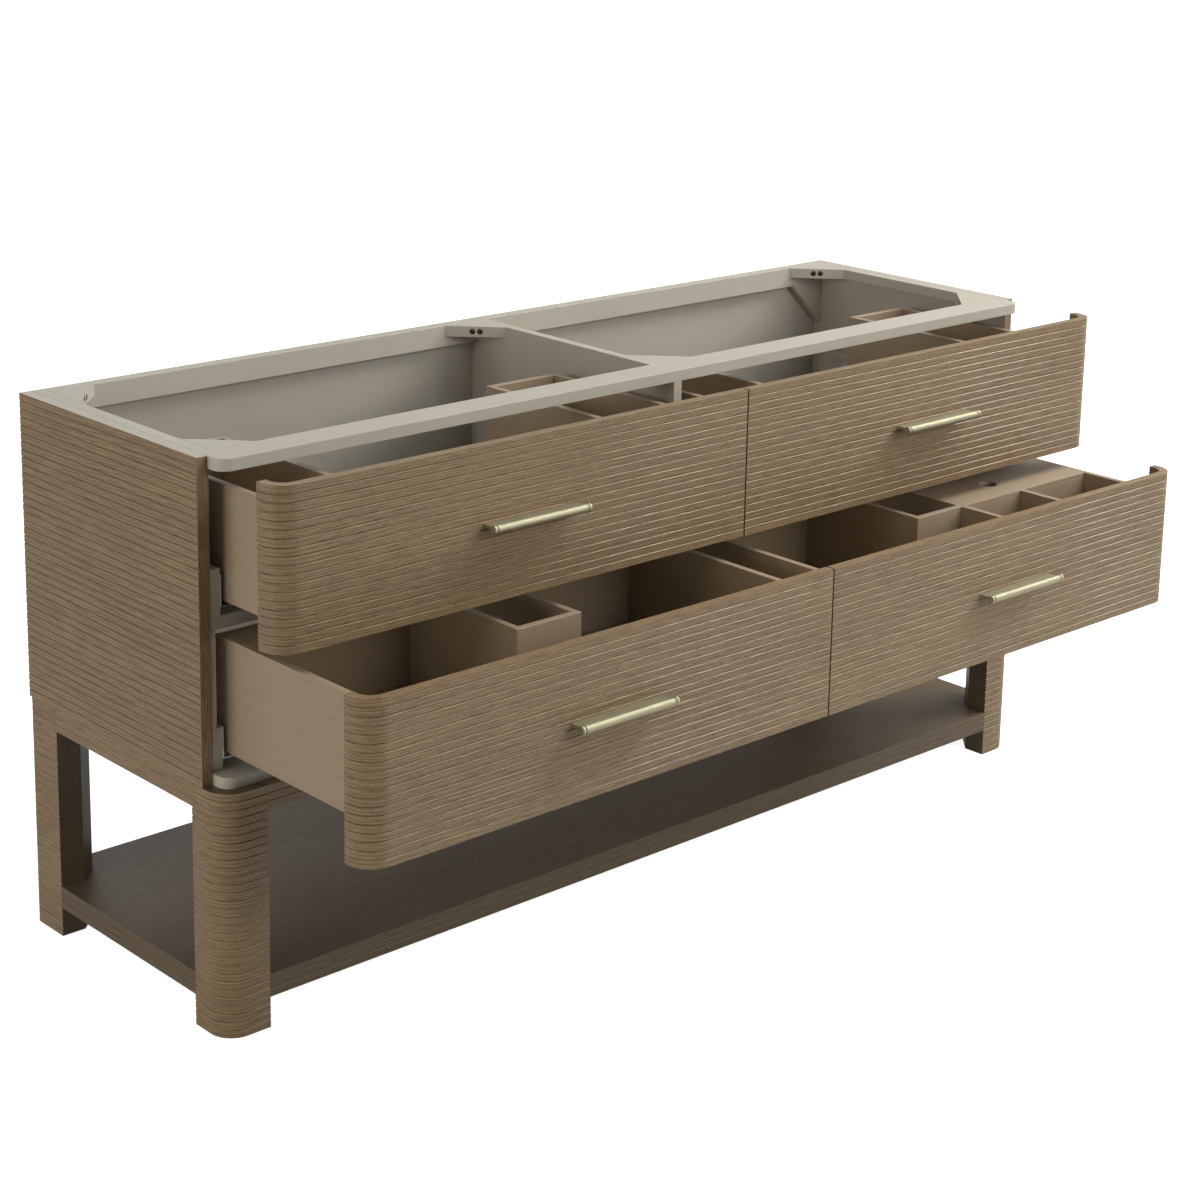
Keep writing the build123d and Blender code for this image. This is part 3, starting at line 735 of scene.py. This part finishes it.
def make_handles():
    """Round brass bars on a web that meets the front, with a bead and a ring at each end."""
    settings = look("metal")
    bar, neck = settings.bar_radius, settings.neck_radius
    for drawer in DRAWERS:
        node = f"{drawer}_handle"
        low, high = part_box(node)
        bead = (high.z - low.z) / 2
        ease = (bead - bar) * 0.9
        middle = Vector(((low.x + high.x) / 2, low.y + bead, (low.z + high.z) / 2))
        wall = high.y - settings.peg_depth
        half = (high.x - low.x) / 2
        shoulder = half - settings.bead_width
        full = shoulder - settings.neck_width
        end = [(full - settings.ring_width, bar)]
        end += rounded(full - settings.ring_width, full, bead, ease / 2)
        end += [(full, neck), (shoulder, neck)]
        end += [(shoulder, bead - ease), (shoulder + ease, bead), (half - 2 * ease, bead)]
        end += [(half - ease * 0.6, bead - ease * 0.6), (half, bead - 2 * ease), (half, 0)]
        profile = [(-along, radius) for along, radius in reversed(end)] + end
        work = bmesh.new()
        turned(work, profile, middle, Vector((1, 0, 0)))
        reach = wall - middle.y
        web = bmesh.ops.create_cube(work, size=1.0)["verts"]
        bmesh.ops.scale(work, vec=(2 * shoulder, reach, settings.web_thickness), verts=web)
        bmesh.ops.translate(work, vec=middle + Vector((0, reach / 2, 0)), verts=web)
        bmesh.ops.recalc_face_normals(work, faces=work.faces)
        lay_grain(work, SEEDS["handles"])
        add_piece(f"brass_{node}", work, [brass()], node, sharp_angle=50)


# ---------------------------------------------------------------- stage

def aim(place, target):
    return (Vector(target) - Vector(place)).to_track_quat("-Z", "Y").to_euler()


def soft_light(name, place, target, size, power, tint=(1, 1, 1)):
    data = bpy.data.lights.new(name, "AREA")
    data.shape = "RECTANGLE"
    data.size, data.size_y = size
    data.energy = power
    data.color = tint
    lamp = bpy.data.objects.new(name, data)
    lamp.location = place
    lamp.rotation_euler = aim(place, target)
    bpy.context.scene.collection.objects.link(lamp)


def seen_share(tree, mirrored):
    """1 where the camera sees the surface, and the mirrored share where a gloss reflects it."""
    path = add_node(tree, "ShaderNodeLightPath")
    return calculate(
        tree, "MULTIPLY_ADD", path.outputs["Is Glossy Ray"], mirrored,
        path.outputs["Is Camera Ray"], clamp=True)


def make_floor():
    settings = look("stage")
    material, tree, shader, bump = new_material(
        "Pale floor", BUMP["floor"], {"Specular IOR Level": 0.2, "Roughness": GLOSS["floor"]})
    vector = add_node(tree, "ShaderNodeTexCoord").outputs["Object"]
    skin = add_node(tree, "ShaderNodeGroup", node_tree=fine_skin_group())
    tree.links.new(vector, skin.inputs["Vector"])
    seen = seen_share(tree, settings.mirrored)
    pale = mix_colours(tree, skin.outputs["Drift"], rgba(settings.floor, 0.985), rgba(settings.floor))
    base = mix_colours(tree, seen, rgba(settings.floor, settings.bounce), pale)
    tree.links.new(base, shader.inputs["Base Color"])
    shader.inputs["Emission Color"].default_value = (1, 1, 1, 1)
    tree.links.new(
        calculate(tree, "MULTIPLY", seen, settings.glow), shader.inputs["Emission Strength"])
    tree.links.new(skin.outputs["Height"], bump.inputs["Height"])
    work = bmesh.new()
    bmesh.ops.create_grid(work, x_segments=1, y_segments=1, size=FLOOR_HALF)
    mesh = bpy.data.meshes.new("floor")
    work.to_mesh(mesh)
    work.free()
    mesh.materials.append(material)
    floor = bpy.data.objects.new("floor", mesh)
    floor.location.z = CAD_LOW.z - FLOOR_DROP
    bpy.context.scene.collection.objects.link(floor)


def make_camera(settings):
    """A camera turned by its yaw, pitch and roll, placed from the middle of the front plane."""
    yaw, pitch, roll = settings.yaw, settings.pitch, settings.roll
    ahead = Vector((
        math.sin(yaw) * math.cos(pitch), math.cos(yaw) * math.cos(pitch), math.sin(pitch)))
    level = Vector((math.cos(yaw), -math.sin(yaw), 0))
    above = level.cross(ahead)
    across = level * math.cos(roll) + above * math.sin(roll)
    upward = above * math.cos(roll) - level * math.sin(roll)
    data = bpy.data.cameras.new("camera")
    data.sensor_width = 36
    data.lens = settings.lens
    data.shift_y = settings.rise
    camera = bpy.data.objects.new("camera", data)
    turn = Matrix((across, upward, -ahead)).transposed().to_4x4()
    place = Vector(settings.place) + Vector((0, FRONT_PLANE, 0))
    camera.matrix_world = Matrix.Translation(place) @ turn
    bpy.context.scene.collection.objects.link(camera)
    bpy.context.scene.camera = camera


def make_stage():
    """Floor, soft room, area lights and camera."""
    settings = look("stage")
    scene = bpy.context.scene
    make_floor()
    world = bpy.data.worlds.new("Soft room")
    world.use_nodes = True
    room = world.node_tree
    sky = room.nodes["Background"]
    sky.inputs["Color"].default_value = (1.0, 0.995, 0.985, 1.0)
    seen = seen_share(room, settings.mirrored)
    strength = remap(room, seen, 0.0, 1.0, settings.sky, settings.backdrop)
    room.links.new(strength, sky.inputs["Strength"])
    scene.world = world
    scene.view_settings.view_transform = "Standard"
    target = (0, FRONT_PLANE, 0.5)
    soft_light("key_front", (1.2, -4.1, 2.3), target, (3.2, 2.4), settings.key)
    soft_light("high_right", (3.9, -1.0, 3.6), target, (2.8, 2.4), settings.right)
    soft_light("overhead", (1.4, -0.9, 3.9), target, (2.4, 2.0), settings.overhead)
    soft_light("soft_left", (-4.5, 0.3, 1.4), target, (3.0, 2.2), settings.left, (1.0, 0.96, 0.90))
    soft_light("soft_rear", (0.6, 4.6, 3.2), target, (3.0, 2.0), settings.rear)
    make_camera(settings)


# ---------------------------------------------------------------- add-on

class VANITY_OT_drawer_fronts(bpy.types.Operator):
    """Reeded oak drawer fronts"""
    bl_idname = "vanity.drawer_fronts"
    bl_label = "Drawer fronts"
    bl_options = {"REGISTER", "UNDO"}

    def execute(self, context):
        make_drawer_fronts()
        return {"FINISHED"}


class VANITY_OT_legs(bpy.types.Operator):
    """Reeded oak legs"""
    bl_idname = "vanity.legs"
    bl_label = "Legs"
    bl_options = {"REGISTER", "UNDO"}

    def execute(self, context):
        make_legs()
        return {"FINISHED"}


class VANITY_OT_side_panels(bpy.types.Operator):
    """Reeded oak side panels"""
    bl_idname = "vanity.side_panels"
    bl_label = "Side panels"
    bl_options = {"REGISTER", "UNDO"}

    def execute(self, context):
        make_side_panels()
        return {"FINISHED"}


class VANITY_OT_aprons(bpy.types.Operator):
    """Reeded oak aprons"""
    bl_idname = "vanity.aprons"
    bl_label = "Aprons"
    bl_options = {"REGISTER", "UNDO"}

    def execute(self, context):
        make_aprons()
        return {"FINISHED"}


class VANITY_OT_shelf(bpy.types.Operator):
    """Oak low shelf"""
    bl_idname = "vanity.shelf"
    bl_label = "Low shelf"
    bl_options = {"REGISTER", "UNDO"}

    def execute(self, context):
        make_shelf()
        return {"FINISHED"}


class VANITY_OT_carcass(bpy.types.Operator):
    """Painted boards and rails of the carcass"""
    bl_idname = "vanity.carcass"
    bl_label = "Carcass"
    bl_options = {"REGISTER", "UNDO"}

    def execute(self, context):
        make_carcass()
        return {"FINISHED"}


class VANITY_OT_drawer_boxes(bpy.types.Operator):
    """Veneered drawer boxes with their dividers and tray"""
    bl_idname = "vanity.drawer_boxes"
    bl_label = "Drawer boxes"
    bl_options = {"REGISTER", "UNDO"}

    def execute(self, context):
        make_drawer_boxes()
        return {"FINISHED"}


class VANITY_OT_runners(bpy.types.Operator):
    """Zinc plated runners"""
    bl_idname = "vanity.runners"
    bl_label = "Runners"
    bl_options = {"REGISTER", "UNDO"}

    def execute(self, context):
        make_runners()
        return {"FINISHED"}


class VANITY_OT_gusset_screws(bpy.types.Operator):
    """Pocket screws in the gussets"""
    bl_idname = "vanity.gusset_screws"
    bl_label = "Gusset screws"
    bl_options = {"REGISTER", "UNDO"}

    def execute(self, context):
        make_gusset_screws()
        return {"FINISHED"}


class VANITY_OT_handles(bpy.types.Operator):
    """Satin brass bar handles"""
    bl_idname = "vanity.handles"
    bl_label = "Handles"
    bl_options = {"REGISTER", "UNDO"}

    def execute(self, context):
        make_handles()
        return {"FINISHED"}


class VANITY_OT_stage(bpy.types.Operator):
    """Floor, lights and camera"""
    bl_idname = "vanity.stage"
    bl_label = "Stage"
    bl_options = {"REGISTER", "UNDO"}

    def execute(self, context):
        make_stage()
        return {"FINISHED"}


OPERATORS = (
    VANITY_OT_drawer_fronts, VANITY_OT_legs, VANITY_OT_side_panels, VANITY_OT_aprons,
    VANITY_OT_shelf, VANITY_OT_carcass, VANITY_OT_drawer_boxes, VANITY_OT_runners,
    VANITY_OT_gusset_screws, VANITY_OT_handles, VANITY_OT_stage)


class VANITY_PT_panel(bpy.types.Panel):
    bl_idname = "VANITY_PT_panel"
    bl_label = "Reeded double vanity"
    bl_space_type = "VIEW_3D"
    bl_region_type = "UI"
    bl_category = "Vanity"

    def draw(self, context):
        for kind in OPERATORS:
            self.layout.operator(kind.bl_idname)
        for name, kind in LOOKS.items():
            box = self.layout.box()
            box.label(text=name.capitalize())
            for label in kind.__annotations__:
                box.prop(look(name), label)


def register():
    for kind in (*LOOKS.values(), *OPERATORS, VANITY_PT_panel):
        bpy.utils.register_class(kind)
    for name, kind in LOOKS.items():
        setattr(bpy.types.Scene, f"vanity_{name}", PointerProperty(type=kind))


def unregister():
    for name in LOOKS:
        delattr(bpy.types.Scene, f"vanity_{name}")
    for kind in reversed((*LOOKS.values(), *OPERATORS, VANITY_PT_panel)):
        bpy.utils.unregister_class(kind)


def main():
    register()
    for kind in OPERATORS:
        getattr(bpy.ops.vanity, kind.bl_idname.split(".")[1])()


if __name__ == "__main__":
    main()
